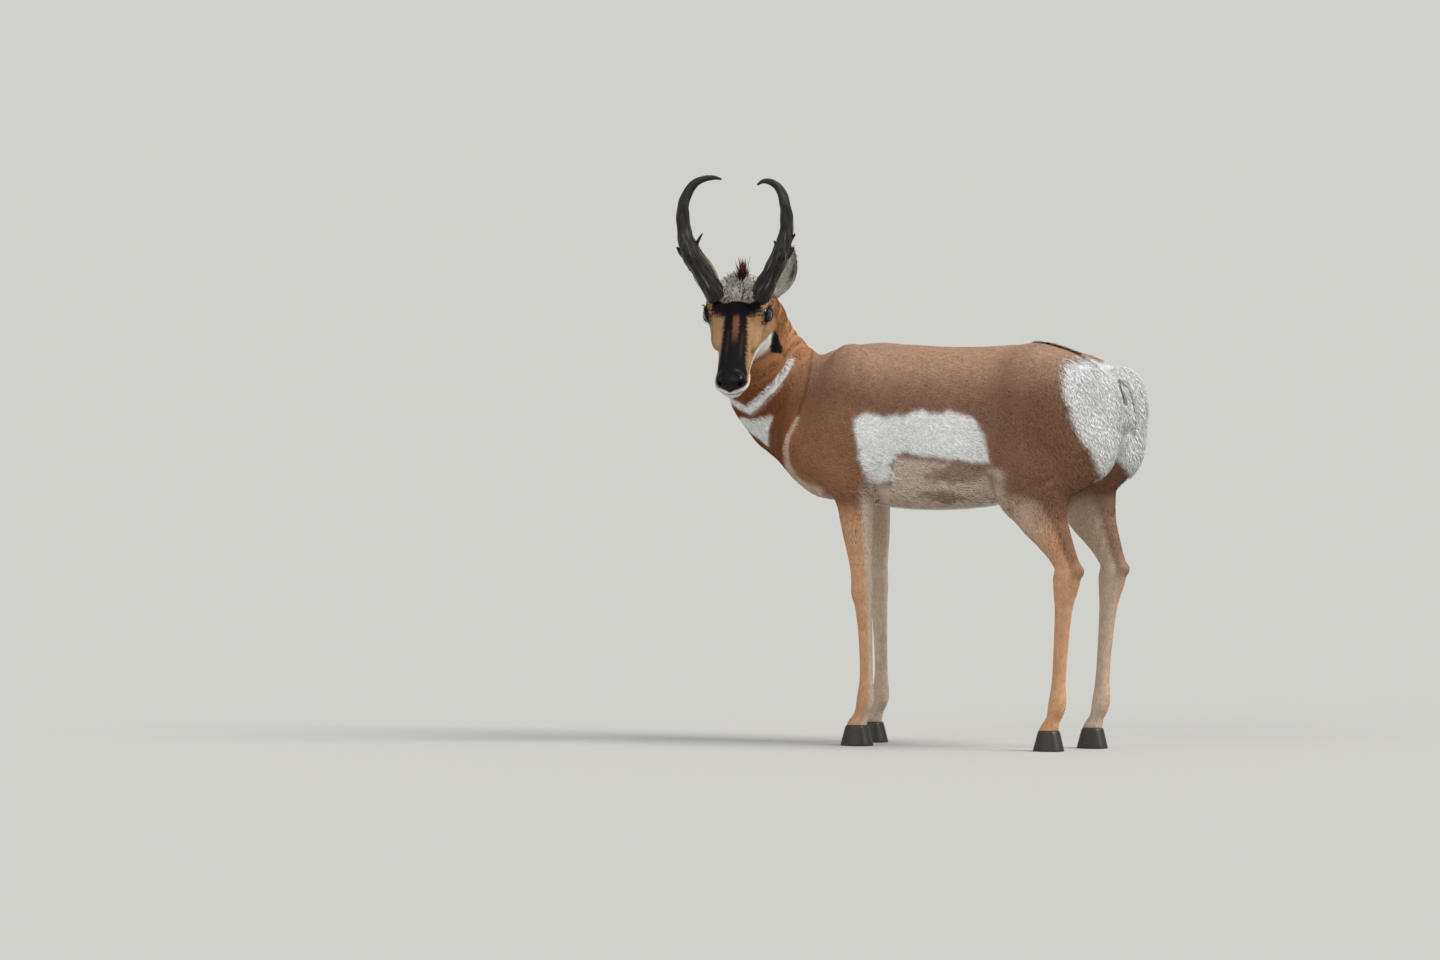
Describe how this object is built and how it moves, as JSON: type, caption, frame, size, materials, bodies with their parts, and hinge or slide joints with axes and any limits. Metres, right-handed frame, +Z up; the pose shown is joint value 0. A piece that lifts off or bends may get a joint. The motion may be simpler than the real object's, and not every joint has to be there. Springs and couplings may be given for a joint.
{
  "type": "pronghorn figure",
  "caption": "Life-size standing pronghorn buck, neck raised and head turned back past its left side, with hooked pronged horns and a white rump.",
  "frame": {"origin": "centre of the bounding box in plan, on the ground under the hooves", "axes": "+X forward along the trunk, +Y to the animal's left, +Z up"},
  "size_m": [1.009, 0.4316, 1.2015],
  "materials": {
    "coat": "short dense hair, dull, tan above and white below",
    "tail": "longer white hair with a tan stripe",
    "horn": "dark horn with lengthwise ridges, worn smooth at the tips",
    "eye": "wet, near-black",
    "hoof": "dark horn, satin"
  },
  "bodies": {
    "root": {"torso": "coat", "tail": "tail", "neck": "coat", "eye_left": "eye", "horn_left": "horn", "eye_right": "eye", "horn_right": "horn", "head": "coat", "ear_left": "coat", "ear_right": "coat", "foreleg_left_upper": "coat", "foreleg_left_lower": "coat", "foreleg_left_claw_outer": "hoof", "foreleg_left_claw_inner": "hoof", "foreleg_right_upper": "coat", "foreleg_right_lower": "coat", "foreleg_right_claw_outer": "hoof", "foreleg_right_claw_inner": "hoof", "hindleg_left_upper": "coat", "hindleg_left_lower": "coat", "hindleg_left_claw_outer": "hoof", "hindleg_left_claw_inner": "hoof", "hindleg_right_upper": "coat", "hindleg_right_lower": "coat", "hindleg_right_claw_outer": "hoof", "hindleg_right_claw_inner": "hoof"}
  },
  "joints": []
}
